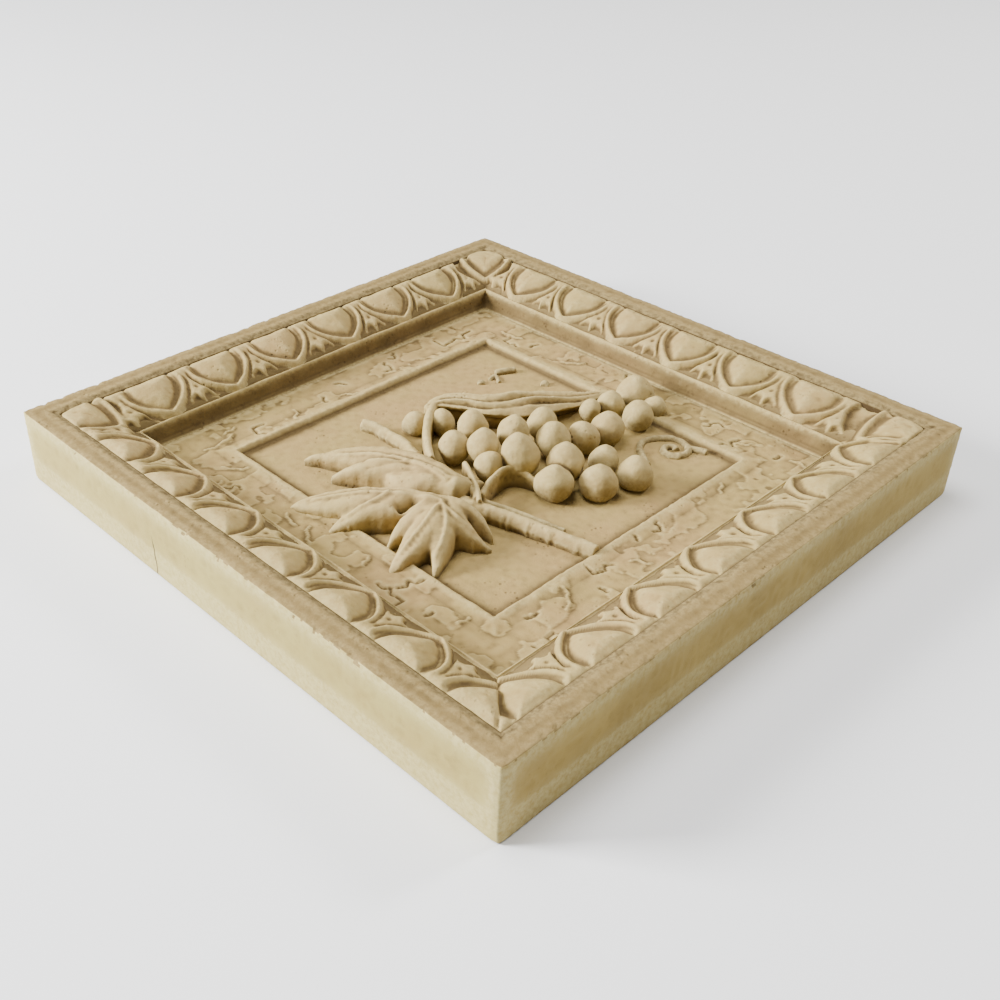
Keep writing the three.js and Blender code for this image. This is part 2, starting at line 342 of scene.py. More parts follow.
def shell_path():
    """One arm of the shell, from the rim down to its pointed tip, and the other arm back up."""
    turn = np.linspace(0, math.pi / 2, 22)
    arm = np.column_stack([
        SHELL_HALF_WIDTH * np.cos(turn) ** 1.75,
        SHELL_STRAIGHT + (SHELL_LENGTH - SHELL_STRAIGHT) * np.sin(turn),
    ])
    arm = np.vstack([[SHELL_HALF_WIDTH * 0.98, -3], arm])
    return np.vstack([arm, (arm * [-1, 1])[::-1]])


def shell_width(v):
    """Half the width of the shell at a distance down the slope."""
    rise = np.clip((v - SHELL_STRAIGHT) / (SHELL_LENGTH - SHELL_STRAIGHT), 0, 1)
    return SHELL_HALF_WIDTH * np.sqrt(1 - rise ** 2) ** 1.75


def bump(distance, half_width):
    return np.clip(1 - (distance / half_width) ** 2, 0, None) ** 0.7


def egg_and_shell(u, v):
    """Height above the slope of an egg in its shell; u runs along the side, v down the slope."""
    away = distance_to_path(np.column_stack([u, v]), shell_path())
    within = np.abs(u) < shell_width(v)
    room = np.minimum(away - EGG_GROOVE, v + 1.6)
    pillow = 1 - (1 - np.clip(room / 7.5, 0, 1)) ** 2.3
    keel = 1.7 * np.sqrt((u / 11) ** 2 + 0.003)
    egg = np.where(within & (room > 0), EGG_CROWN * pillow ** 0.55 - keel - 0.3, NO_ORNAMENT)
    clear_of_rim = 0.75 + 0.25 * ease(0, 8, v)
    ridge = np.where(away < 1.5, SHELL_CROWN * clear_of_rim * bump(away, 1.5), NO_ORNAMENT)
    lining = np.abs(away - 2.3)
    lining = np.where((lining < 1.0) & within, 0.55 * clear_of_rim * (1 - lining ** 2), NO_ORNAMENT)
    bed = np.where(away < 1.8, -0.3, NO_ORNAMENT)
    return np.maximum.reduce([egg, ridge, lining, bed])


def dart_leaf(u, v):
    """Height above the slope of a dart: a web hung from the rim, and a flat leaf with three points."""
    web_width = 0.9 + 3.0 * np.clip(1 - v / 6.5, 0, 1)
    web = 1.6 * ease(0.4, -0.4, np.abs(u) - web_width) * ease(8, 6, v)
    top, foot = 5.5, 21.6
    share = np.clip((v - top) / (foot - top), 0, 1)
    across = np.abs(u) / (0.9 + 7.2 * share ** 1.5)
    reach = np.clip(np.abs(u) / 6.6, 0, 1)
    scallop = foot - 1.8 * reach - 2.7 * np.sin(math.pi * reach) ** 0.9
    dimple = 1.1 * np.exp(-((v - 14.2) / 0.9) ** 2 - ((u - 0.4) / 0.8) ** 2)
    crown = DART_CROWN * (0.75 + 0.25 * share) - 0.25 * np.clip(across, 0, 1) - dimple
    side = ease(1.08, 0.95, across) * ease(0.35, -0.25, v - scallop)
    height = np.maximum(web, crown * (side * ease(-1, 1, v - top)))
    return np.where(height > 0.02, height, NO_ORNAMENT)


def on_side(u, v):
    inset = MOULDING_START + v
    return np.column_stack([u, HALF - inset, slope_height(inset)])


def on_corner(u, v):
    """On a mitre the ornament lies along the diagonal, a little longer than on the sides."""
    reach = 1.2
    along = HALF * math.sqrt(2) - (MOULDING_START * math.sqrt(2) + v * reach)
    half = math.sqrt(0.5)
    x = u * half - along * half
    y = u * half + along * half
    inset = HALF - np.maximum(np.abs(x), np.abs(y))
    return np.column_stack([x, y, slope_height(inset)])


def ornament_sheet(name, height_of, half_width, place_on):
    """An open sheet with one piece of ornament, in place on the first side or corner, to press from."""
    across = np.arange(-half_width, half_width + SHEET_STEP / 2, SHEET_STEP)
    down = np.arange(-0.8, MOULDING_WIDTH + 2.0, SHEET_STEP)
    u, v = (grid.ravel() for grid in np.meshgrid(across, down))
    places = place_on(u, v)
    places[:, 2] += height_of(u, v)
    under_rim = THICKNESS - BEVEL_DEPTH - 0.1 + 0.4 * np.clip(v, 0, 3)
    places[:, 2] = np.minimum(places[:, 2], under_rim)
    return new_piece(name, plain_mesh(name, places, [], grid_faces(len(down), len(across))))


# ---- nodes ----

def new_tree(name, kind, inputs, outputs):
    """A node group with the given sockets; returns the group, its inputs and its output node."""
    tree = bpy.data.node_groups.new(name, kind)
    for in_out, sockets in (("INPUT", inputs), ("OUTPUT", outputs)):
        for label, socket_type in sockets.items():
            tree.interface.new_socket(label, in_out=in_out, socket_type="NodeSocket" + socket_type)
    return tree, tree.nodes.new("NodeGroupInput").outputs, tree.nodes.new("NodeGroupOutput")


def geometry_tree(name, **inputs):
    return new_tree(name, "GeometryNodeTree", {"Geometry": "Geometry", **inputs}, {"Geometry": "Geometry"})


def feed(tree, socket, value):
    """Links a socket to another one or to a node's first output, or sets its value."""
    if isinstance(value, bpy.types.Node):
        value = value.outputs[0]
    if isinstance(value, bpy.types.NodeSocket):
        tree.links.new(value, socket)
    else:
        socket.default_value = value


def add(tree, kind, inputs=None, **settings):
    """A node with its properties set and its inputs fed."""
    node = tree.nodes.new(kind)
    for key, value in settings.items():
        setattr(node, key, value)
    for key, value in (inputs or {}).items():
        feed(tree, node.inputs[key], value)
    return node


def worked(tree, operation, first, second):
    return add(tree, "ShaderNodeMath", {0: first, 1: second}, operation=operation)


def product(tree, first, *others):
    for other in others:
        first = worked(tree, "MULTIPLY", first, other)
    return first


def combined(tree, operation, first, second):
    return add(tree, "FunctionNodeBooleanMath", {0: first, 1: second}, operation=operation)


def compared(tree, operation, kind, first, second):
    """Compares two numbers; the node has its own pair of sockets for each kind."""
    pair = {"FLOAT": 0, "INT": 2}[kind]
    return add(tree, "FunctionNodeCompare", {pair: first, pair + 1: second}, data_type=kind,
               operation=operation)


def random_value(tree, kind, low, high, seed):
    """A random value for each copy, between two bounds."""
    place = {"FLOAT_VECTOR": 0, "FLOAT": 1}[kind]
    inputs = {2 * place: low, 2 * place + 1: high, "Seed": seed}
    return add(tree, "FunctionNodeRandomValue", inputs, data_type=kind).outputs[place]


def finish_tree(tree, given, out, pressed):
    """Ends a tree in real geometry with its material."""
    whole = add(tree, "GeometryNodeRealizeInstances", {"Geometry": pressed})
    finished = add(tree, "GeometryNodeSetMaterial", {"Geometry": whole, "Material": given["Material"]})
    feed(tree, out.inputs[0], finished)
    return tree


def apply_tree(piece, tree, values):
    modifier = piece.modifiers.new(tree.name, "NODES")
    modifier.node_group = tree
    sockets = {item.name: item.identifier for item in tree.interface.items_tree if item.in_out == "INPUT"}
    for label, value in values.items():
        modifier[sockets[label]] = value


def settle(piece):
    """Turns the evaluated piece into a plain mesh and drops its modifiers."""
    graph = bpy.context.evaluated_depsgraph_get()
    settled_wash_and_painted_shade = bpy.data.meshes.new_from_object(piece.evaluated_get(graph))
    piece.modifiers.clear()
    old = piece.data
    piece.data = settled_wash_and_painted_shade
    bpy.data.meshes.remove(old)
    return settled_wash_and_painted_shade


def row_of_ornament_tree():
    """Repeats a piece of ornament along one side and presses it up into the band below it."""
    tree, given, out = geometry_tree(
        "row_of_ornament", Ornament="Object", First="Float", Pitch="Float", Count="Int", Turn="Float",
        Side="Int", Unevenness="Float", Seed="Int", Material="Material")
    start = add(tree, "ShaderNodeCombineXYZ", {"X": given["First"]})
    step = add(tree, "ShaderNodeCombineXYZ", {"X": given["Pitch"]})
    line = add(tree, "GeometryNodeMeshLine", {
        "Count": given["Count"], "Start Location": start, "Offset": step})
    ornament = add(tree, "GeometryNodeObjectInfo", {"Object": given["Ornament"]})
    least, most = (worked(tree, operation, 1.0, given["Unevenness"]) for operation in ("SUBTRACT", "ADD"))
    width = random_value(tree, "FLOAT", least, most, given["Seed"])
    widths = add(tree, "ShaderNodeCombineXYZ", {"X": width, "Y": 1.0, "Z": 1.0})
    copies = add(tree, "GeometryNodeInstanceOnPoints", {
        "Points": line, "Instance": ornament.outputs["Geometry"], "Scale": widths})
    turn = add(tree, "ShaderNodeCombineXYZ", {"Z": given["Turn"]})
    rotation = add(tree, "FunctionNodeEulerToRotation", {0: turn})
    turned = add(tree, "GeometryNodeTransform", {"Geometry": copies, "Rotation": rotation})
    stamps = add(tree, "GeometryNodeRealizeInstances", {"Geometry": turned})
    place = add(tree, "GeometryNodeInputPosition")
    above = add(tree, "ShaderNodeVectorMath", {0: place, 1: (0.0, 0.0, 1.0)})
    cast = add(tree, "GeometryNodeRaycast", {
        "Target Geometry": stamps, "Source Position": above, "Ray Direction": (0.0, 0.0, -1.0),
        "Ray Length": 2.0})
    hit_height, own_height = (
        add(tree, "ShaderNodeSeparateXYZ", {0: spot}).outputs["Z"]
        for spot in (cast.outputs["Hit Position"], place)
    )
    higher = compared(tree, "GREATER_THAN", "FLOAT", hit_height, own_height)
    side = add(tree, "GeometryNodeInputNamedAttribute", {"Name": "side"}, data_type="INT")
    same = compared(tree, "EQUAL", "INT", side, given["Side"])
    any_side = compared(tree, "LESS_THAN", "INT", given["Side"], 0)
    raised_here = combined(tree, "AND", higher, cast.outputs["Is Hit"])
    chosen = combined(tree, "AND", raised_here, combined(tree, "OR", same, any_side))
    pressed = add(tree, "GeometryNodeSetPosition", {
        "Geometry": given["Geometry"], "Selection": chosen, "Position": cast.outputs["Hit Position"]})
    return finish_tree(tree, given, out, pressed)


def make_cove():
    """The fillet at the foot of the egg and dart, and the cove that falls from it to the band."""
    foot = slope_height(MOULDING_END)
    fillet = THICKNESS - FILLET_DEPTH
    cove = THICKNESS - COVE_DEPTH
    mesh = ring_mesh("cove", [
        (MOULDING_END - 2.2, HIDDEN, 1),
        (MOULDING_END - 2.2, foot - DEEP_GROUND - 0.3, 1),
        (MOULDING_END - 0.4, foot - DEEP_GROUND + 0.2, 2),
        (MOULDING_END + 0.8, fillet - 0.5, 2),
        (FILLET_END - 1.2, fillet - 0.1, 1),
        (FILLET_END - 0.7, fillet - 0.2, 1),
        (FILLET_END - 0.2, fillet - 0.9, 1),
        (FILLET_END, fillet - 1.8, 2),
        (FILLET_END + 0.2, fillet - 3.0, 4),
        (FILLET_END + 0.9, cove + 1.8, 2),
        (FILLET_END + 1.6, cove + 0.3, 2),
        (FILLET_END + 2.3, cove - 0.4, 1),
        (COVE_END, cove - 0.9, 1),
        (COVE_END + 1.5, cove - 2, 1),
        (COVE_END + 1.5, HIDDEN, 1),
    ], RIM_POINTS)
    roughen(mesh, [(14, 0.22, 24), (4, 0.10, 25)])

    # Painted shade on the cove wall below the fillet's lip, broken into streaks.
    def painted_shade_under_fillet(spots):
        streaks = 0.85 + 0.3 * noise(spots, 9, 26)
        below_lip = ease(fillet - 0.5, fillet - 1.6, spots[:, 2])
        return 0.95 * streaks * below_lip * (inset_of(spots) > MOULDING_END)

    write_wear_and_painted_shade(mesh, painted_shade_under_fillet)
    return new_piece("cove", mesh)


def make_moulding(material):
    start = slope_height(MOULDING_START)
    foot = slope_height(MOULDING_END)
    mesh = ring_mesh("egg_and_dart", [
        (BEVEL_END - 0.3, HIDDEN, 1),
        (BEVEL_END - 0.3, start - 0.6, 1),
        (MOULDING_START, start - DEEP_GROUND, 40),
        (MOULDING_END + 1.4, foot - DEEP_GROUND - 0.4, 1),
        (MOULDING_END + 1.4, HIDDEN, 1),
    ], MOULDING_POINTS)
    places = places_of(mesh)
    angle = np.arctan2(-places[:, 0], places[:, 1])
    store(mesh, "side", np.floor((angle + math.pi / 4) / (math.pi / 2)).astype(np.int32) % 4, np.int32)
    piece = new_piece("egg_and_dart", mesh)
    egg = ornament_sheet("egg_sheet", egg_and_shell, EGG_SHEET_HALF, on_side)
    dart = ornament_sheet("dart_sheet", dart_leaf, DART_SHEET_HALF, on_side)
    corner = ornament_sheet("corner_sheet", egg_and_shell, EGG_SHEET_HALF, on_corner)
    tree = row_of_ornament_tree()

    # The egg is pressed along each side, then the dart between the eggs, then an egg on the mitres.
    def press(ornament, turn, first, pitch, count, unevenness, seed, side):
        apply_tree(piece, tree, {
            "Ornament": ornament, "Turn": turn * math.pi / 2, "First": first * MM, "Pitch": pitch * MM,
            "Count": count, "Unevenness": unevenness, "Seed": seed, "Side": side, "Material": material})

    for turn, (first, pitch, eggs) in enumerate(EGG_ROWS):
        press(egg, turn, first, pitch, eggs, 0.03, turn, turn)
        press(dart, turn, first - pitch / 2, pitch, eggs + 1, 0.12, 10 + turn, turn)
    for turn in CORNERS_WITH_AN_EGG:
        press(corner, turn, 0.0, 0.0, 1, 0.0, 0, -1)
    mesh = settle(piece)
    for sheet in (egg, dart, corner):
        bpy.data.objects.remove(sheet)
    places = places_of(mesh)
    places[:, 2] = smoothed(mesh, places, 3)[:, 2]
    set_places(mesh, places)
    roughen(mesh, [(7, 0.22, 21), (2.6, 0.12, 22), (1.3, 0.04, 23)])
    write_wear_and_painted_shade(mesh)
    return piece


# ---- the field: band, bead and sunk panel ----

# Cracks and flakes of the band: the line of one, its width and depth, how many to a square metre, and a seed.
# Each copy is turned at random and scaled between two limits.
CRACKS = [
    ([(-8, 3), (-7, -2), (-3, -1), (0, 0.5), (3, -2), (4, 1.5), (8, 2)], 1.0, 1.5, 420, 1),
    ([(-4, 2), (-3, -1.5), (1, -1), (1.5, 1), (4, 0.5)], 0.95, 1.3, 450, 2),
    ([(-6, -1), (-3, 0.5), (-1, 0), (3, 0.8), (6, -0.5)], 0.9, -0.9, 520, 3),
    ([(-2.2, 0), (-0.5, 0.8), (2, 0.2)], 1.15, 1.2, 700, 4),
    ([(-3, -1), (-1, 0.8), (2, 0.2), (3.5, 1.6)], 0.8, -0.8, 560, 5),
]
CRACK_SCALES = (0.7, 1.6)


def field_height(inset):
    insets, depths = zip(
        (COVE_END - 1, COVE_DEPTH + 1.3),
        (COVE_END + 0.3, COVE_DEPTH + 0.4),
        (COVE_END + 4, BAND_DEPTH - 0.5),
        (BAND_LEVEL_UP_TO, BAND_DEPTH),
        (BEAD_MIDDLE - 1.8, BEAD_DEPTH + 0.35),
        (BEAD_MIDDLE - 0.3, BEAD_DEPTH),
        (BEAD_MIDDLE + 0.5, BEAD_DEPTH + 0.5),
        (BEAD_MIDDLE + BEAD_HALF_WIDTH, PANEL_DEPTH),
    )
    return THICKNESS - np.interp(inset, insets, depths)


def make_field(material):
    reach = HALF - COVE_END + 0.9
    line = np.linspace(-reach, reach, FIELD_LINES)
    x, y = (grid.ravel() for grid in np.meshgrid(line, line))
    flat = np.column_stack([x, y, np.zeros_like(x)])
    inset = inset_of(flat)
    height = field_height(inset)
    on_band = ease(BEAD_MIDDLE - 0.5, BEAD_MIDDLE - 4, inset)
    on_band *= ease(COVE_END, COVE_END + 3, inset)
    height += on_band * (0.35 * noise(flat, 12, 31) + 0.10 * noise(flat, 3, 32))
    flakes = ease(0.10, 0.22, noise(flat, 9.5, 35) + 0.35 * noise(flat, 2.8, 36))
    height += on_band * 0.30 * flakes
    in_panel = ease(BEAD_MIDDLE + 1, BEAD_MIDDLE + 4, inset)
    height += in_panel * (0.20 * noise(flat, 18, 33) + 0.06 * noise(flat, 3, 34))
    on_bead = np.exp(-((inset - BEAD_MIDDLE) / 1.6) ** 2)
    height -= on_bead * (0.25 + 0.35 * noise(flat, 9, 39) + 0.25 * noise(flat, 2.2, 40))
    places = np.column_stack([x, y, height])
    faces = grid_faces(FIELD_LINES, FIELD_LINES)
    # A skirt goes down from the border to a flat bottom, out of sight in the body.
    index = np.arange(len(places)).reshape(FIELD_LINES, FIELD_LINES)
    border = np.concatenate([index[0], index[1:, -1], index[-1, -2::-1], index[-2:0:-1, 0]]).tolist()
    skirt = places[border]
    skirt[:, 2] = HIDDEN
    first = len(places)
    middle = first + len(border)
    places = np.vstack([places, skirt, [[0, 0, HIDDEN]]])
    for i in range(len(border)):
        j = (i + 1) % len(border)
        faces += [(border[j], border[i], first + i, first + j), (first + j, first + i, middle)]
    mesh = make_mesh("field", places, faces)
    places = places_of(mesh)
    inset = inset_of(places)
    band = ease(COVE_END, COVE_END + 1.5, inset)
    band *= ease(BEAD_MIDDLE - 1.8, BEAD_MIDDLE - 3.5, inset)
    store(mesh, "band", band * (places[:, 2] > HIDDEN + 0.5))
    piece = new_piece("field", mesh)
    tree = cracked_band_tree()
    cracks = [crack_line(crack[0]) for crack in CRACKS]
    for crack, (_, width, depth, density, seed) in zip(cracks, CRACKS):
        apply_tree(piece, tree, {"Crack": crack, "Width": width * MM, "Depth": depth * MM,
                                 "Density": density, "Seed": seed, "Material": material})
    mesh = settle(piece)
    for crack in cracks:
        bpy.data.objects.remove(crack)
    # Painted shade along the band's outer edge, in the corner at the foot of the cove.
    write_wear_and_painted_shade(mesh, lambda spots: 0.7 * ease(COVE_END + 1.8, COVE_END + 0.8, inset_of(spots)))
    return piece


def crack_line(path):
    """A line of straight steps with sharp corners, to be repeated over the band."""
    steps = [(i, i + 1) for i in range(len(path) - 1)]
    return new_piece("crack", plain_mesh("crack", [(x, y, 0) for x, y in path], steps, []))


def cracked_band_tree():
    """Scatters copies of a crack over the band and presses them into it, or raises them out of it."""
    tree, given, out = geometry_tree("cracked_band", Crack="Object", Width="Float", Depth="Float",
                                     Density="Float", Seed="Int", Material="Material")
    band = add(tree, "GeometryNodeInputNamedAttribute", {"Name": "band"}, data_type="FLOAT")
    scattered = add(tree, "GeometryNodeDistributePointsOnFaces", {
        "Mesh": given["Geometry"], "Selection": compared(tree, "GREATER_THAN", "FLOAT", band, 0.5),
        "Density": given["Density"], "Seed": given["Seed"]})
    line = add(tree, "GeometryNodeObjectInfo", {"Object": given["Crack"]})
    spin = random_value(tree, "FLOAT_VECTOR", (0, 0, 0), (0, 0, 2 * math.pi), given["Seed"])
    turn = add(tree, "FunctionNodeEulerToRotation", {0: spin})
    scale = random_value(tree, "FLOAT", *CRACK_SCALES, given["Seed"])
    copies = add(tree, "GeometryNodeInstanceOnPoints", {
        "Points": scattered, "Instance": line.outputs["Geometry"], "Rotation": turn, "Scale": scale})
    lines = add(tree, "GeometryNodeRealizeInstances", {"Geometry": copies})
    place = add(tree, "GeometryNodeInputPosition")
    dropped = add(tree, "ShaderNodeVectorMath", {0: place, 1: (1.0, 1.0, 0.0)}, operation="MULTIPLY")
    flat_lines = add(tree, "GeometryNodeSetPosition", {"Geometry": lines, "Position": dropped})
    near = add(tree, "GeometryNodeProximity", {
        "Geometry": flat_lines, "Sample Position": dropped}, target_element="EDGES")
    fade = add(tree, "ShaderNodeMapRange", {
        "Value": near.outputs["Distance"], "From Min": 0.0, "From Max": given["Width"], "To Min": 1.0,
        "To Max": 0.0}, interpolation_type="SMOOTHSTEP")
    move = add(tree, "ShaderNodeCombineXYZ", {"Z": product(tree, fade, band, given["Depth"], -1.0)})
    pressed = add(tree, "GeometryNodeSetPosition", {"Geometry": given["Geometry"], "Offset": move})
    return finish_tree(tree, given, out, pressed)


# ---- the vine ----

def bowed(root, tip, bow, steps):
    """Points from root to tip along a shallow curve that stands off the straight line by the bow."""
    root, tip = np.array(root, float), np.array(tip, float)
    share = np.linspace(0, 1, steps)[:, None]
    ahead = (tip - root) / np.linalg.norm(tip - root)
    return root + (tip - root) * share + np.array([-ahead[1], ahead[0]]) * bow * 4 * share * (1 - share)


def finger(root, tip, bow, half_width, widest, root_height, tip_height):
    """A finger of a leaf: it swells to its widest place, then narrows and dips to a blunt point."""
    result = []
    for (x, y), share in zip(bowed(root, tip, bow, FINGER_STEPS), np.linspace(0, 1, FINGER_STEPS)):
        if share < widest:
            swell = 0.6 + 0.4 * math.sin(math.pi / 2 * share / widest)
        else:
            swell = max(math.cos(math.pi / 2 * (share - widest) / (1 - widest)), 0.0) ** 0.8
        height = root_height - (root_height - tip_height) * share ** 1.9
        result.append((x, y, height, max(half_width * swell, 0.8)))
    return result


# Each leaf: its fingers, its veins and its holes. A finger has a root, a tip, a bow, a half width, its widest
# place, and its height at the root and the tip; a vein has a root, a tip and a bow.
UPPER_LEAF = ((
    ((-16, 39), (54, 64), -8.5, 9, 0.3, 30, 18),
    ((15, 46), (34, 65), 1, 5, 0, 28, 18),
    ((8, 45), (20, 56), 0, 4, 0, 28, 21),
    ((-8, 45), (10, 53), 1, 6.5, 0.4, 29, 24),
    ((-12, 39), (-22, 31), 0, 5, 0, 29, 24),
), (
    ((-14, 42), (40, 56), -5),
    ((-14, 40), (17, 44), -1.4),
    ((9, 43), (24, 53), 1.2),
), ())
LOWER_LEAF = ((
    ((-23, 54), (29, 92), -2.5, 8, 0.6, 30, 17),
    ((-8, 68), (4, 93), -2, 6, 0, 27, 15.5),
    ((-22, 60), (-21, 82), -1.3, 4.5, 0, 28, 16.5),
    ((-26, 56), (-34, 93), 1.2, 6.5, 0.3, 30, 15.5),
    ((-29, 57), (-47, 80), 0.8, 5, 0.2, 29, 16),
    ((-28, 54), (-50, 51), -3.2, 5, 0, 29, 16),
    ((-26, 51), (-46, 46), 2, 3.6, 0, 29, 19),
), (
    ((-25, 54), (22, 85), -2.2),
    ((-25, 55), (-32, 85), 1.3),
    ((-27, 56), (-43, 76), 2.8),
    ((-26, 55), (-43, 54), -2),
    ((-4, 65), (2, 84), 0.8),
), (
    ((-13, 67), (-15, 62)),
))
FINGER_STEPS, VEIN_STEPS = 7, 6
# Each grape: its place, how far it is lifted off the panel, and its radius.
GRAPES = [
    (-40, 1, 8, 8.5), (-53, -14, 8, 8.3), (-59, -32, 7, 8), (-42, -31, 6, 7), (-36, -11, 12, 8.6),
    (-20, 1, 14, 8.9), (-13, 14, 10, 6.5), (-2, 6, 13, 7.2), (10, 13, 9, 7), (-19, -22, 12, 7.8),
    (-25, -36, 10, 7.4), (13, -2, 13, 7.2), (-5, -10, 15, 7.2), (-7, -28, 12, 7), (-27, -51, 9, 7.7),
    (-28, -73, 7, 7.4), (-12, -91, 5, 9.4), (-27, -87, 5, 5.8), (-12, -72, 7, 6.6), (-9, -60, 7, 5.2),
    (31, 0, 8, 6), (41, 8, 5, 6.5),
]
# The curled leaf: its middle line and height, and its half width.
CURLED_LEAF = [
    (39.5, 3, 26, 1.4), (38, -5, 27.5, 3.4), (31, -13, 28, 5.6), (21, -19, 28, 6.6), (15, -28, 27, 7.8),
    (11, -38, 26, 8.2), (7, -48, 24.5, 7.4), (4, -58, 22.5, 5.8), (2, -68, 20.5, 4.2), (1, -77, 18.5, 2.8),
    (0, -86, 16.5, 0.9),
]
# Its folds: the height of each, its place across the leaf, and its width.
FOLDS = ((-1.5, -0.45, 0.12), (0.9, -0.15, 0.16), (-1.3, 0.25, 0.11), (0.7, 0.6, 0.18))
# The curl at its upper end, which comes down beside the grapes to the branch.
CURL = [
    (32, -15, 28), (38, -11, 28), (39, -3, 27.5), (34.5, 5, 26.5), (27, 14, 25.5), (17, 22.5, 24.5),
    (9, 28, 24),
]
COIL_MIDDLE = (-53, -67.5)
ROOT = PANEL - 2.5


def tendril_path():
    """The tendril's stalk, then a coil that winds inwards from it."""
    stalk = [(-53.5, -49), (-47.5, -53), (-42, -57.5), (-39.3, -64.5)]
    share = np.linspace(0, 1, 12)
    turn = np.radians(-40 - 460 * share)
    radius = 2 + 8.2 * (1 - share) ** 1.6
    coil = COIL_MIDDLE + radius[:, None] * np.column_stack([np.cos(turn), np.sin(turn)])
    return np.vstack([stalk, coil])


def smooth_path(points, steps):
    """Points and directions along a Catmull-Rom curve through the given points."""
    points = np.asarray(points, float)
    ends = np.vstack([2 * points[0] - points[1], points, 2 * points[-1] - points[-2]])
    place = np.arange(steps + 1) / steps * (len(points) - 1)
    k = np.minimum(place.astype(int), len(points) - 2)
    t = (place - k)[:, None]
    a, b, c, d = (ends[k + i] for i in range(4))
    path = 0.5 * (2 * b + (c - a) * t + (2 * a - 5 * b + 4 * c - d) * t ** 2
                  + (3 * b - a - 3 * c + d) * t ** 3)
    ahead = np.gradient(path, axis=0)
    return path, ahead / np.linalg.norm(ahead[:, :2], axis=1)[:, None]


def loft(rings):
    """A closed skin over rings of points, as (places, faces)."""
    rings = np.asarray(rings, float)
    count = rings.shape[1]
    places = list(rings.reshape(-1, 3))
    faces = grid_faces(len(rings), count, False, True)
    for ring, start in ((rings[0], 0), (rings[-1], (len(rings) - 1) * count)):
        hub = len(places)
        places.append(ring.mean(axis=0))
        faces += [(start + c, start + (c + 1) % count, hub) for c in range(count)]
    return np.array(places), faces


def joined(solids):
    places, faces, start = [], [], 0
    for more_places, more_faces in solids:
        places.append(more_places)
        faces += [tuple(i + start for i in face) for face in more_faces]
        start += len(more_places)
    return np.vstack(places), faces


def raised(points, width_at, drop_at, steps, foot=1.0, back=9):
    """A raised form along a curve: a rounded back, edges that drop, and sides down into the ground."""
    rings = []
    for i, (middle, forward) in enumerate(zip(*smooth_path(points, steps))):
        share = i / steps
        across = np.array([-forward[1], forward[0], 0]) * width_at(share)
        section = []
        for side in (-foot, *np.linspace(-1, 1, back), foot):
            point = middle + across * side
            point[2] = middle[2] - drop_at(share) * abs(side) ** 2.2
            section.append(point)
        section[0][2] = section[-1][2] = ROOT
        rings.append(section)
    return loft(rings)


def stem(points, radius, steps):
    return raised(points, lambda share: radius, lambda share: radius * 0.9, steps, foot=0.7)


def branch(points, radius, steps, rings):
    """A branch with raised rings where it once put out leaves."""
    def width_at(share):
        ring = sum(math.exp(-((share - place) * steps / 1.3) ** 2) for place in rings)
        crack = sum(math.exp(-((share - place - 0.025) * steps / 0.9) ** 2) for place in rings)
        return radius * (0.94 + 0.11 * ring - 0.12 * crack + 0.05 * math.sin(share * 23))
    return raised(points, width_at, lambda share: radius * 0.9, steps, foot=0.7, back=11)


def curled_leaf(points, steps):
    """A leaf rolled lengthwise: folds run along its back, and its near edge stands clear of the ground."""
    spine, ahead = smooth_path([point[:3] for point in points], steps)
    half_widths = np.interp(np.linspace(0, 1, steps + 1), np.linspace(0, 1, len(points)),
                            [point[3] for point in points])
    sections = []
    for i, (middle, forward) in enumerate(zip(spine, ahead)):
        share = i / steps
        wave = 1 + 0.08 * math.sin(share * 19) + 0.05 * math.sin(share * 43 + 1)
        across = np.array([-forward[1], forward[0], 0]) * half_widths[i] * wave
        drift = 0.16 * math.sin(share * 9)
        size = half_widths[i] / 8

        def at(side, height):
            return [*(middle + across * side)[:2], height]

        section = [at(-0.1, ROOT), at(-0.3, middle[2] - 6 * size - 2)]
        for side in np.linspace(-1, 1, 21):
            fold = side + drift
            lift = sum(height * math.exp(-((fold - place) / width) ** 2) for height, place, width in FOLDS)
            lift *= 1.1 + 0.7 * math.sin(share * 14 + side * 2.5)
            roll = 3.6 if side < 0 else -0.8
            section.append(at(side, middle[2] + lift * size - roll * size * abs(side) ** 2.4))
        sections.append(section + [at(1, ROOT)])
    return loft(sections)


def grape(place):
    """A rounded cone, widest low down and tucked in at its foot."""
    x, y, lift, radius = place
    sides = 24
    turn = np.linspace(0, 2 * math.pi, sides, endpoint=False)
    middle = PANEL + lift * 0.86
    height = radius * 0.99 + lift * 0.12
    tuck = min(lift, radius) * 0.9
    lean_x, lean_y = radius * 0.16 * noise([[x, y, 0], [y, x, 9]], 5, 53)
    levels = [(0.35, min(ROOT, middle - tuck - 1), 0)]
    levels += [(1.02 - 0.36 * share ** 2.4, middle - tuck * share, 0) for share in (1.0, 0.8, 0.6, 0.4, 0.2)]
    levels += [(1.02 * (1 - share ** 1.75) ** 0.62, middle + height * share, share)
               for share in (0, 0.12, 0.25, 0.38, 0.5, 0.62, 0.73, 0.82, 0.9, 0.96, 0.99)]
    rings = [
        np.column_stack([x + lean_x * lean + radius * scale * np.cos(turn),
                         y + lean_y * lean + radius * scale * np.sin(turn),
                         np.full(sides, z)])
        for scale, z, lean in levels
    ]
    return loft(rings)


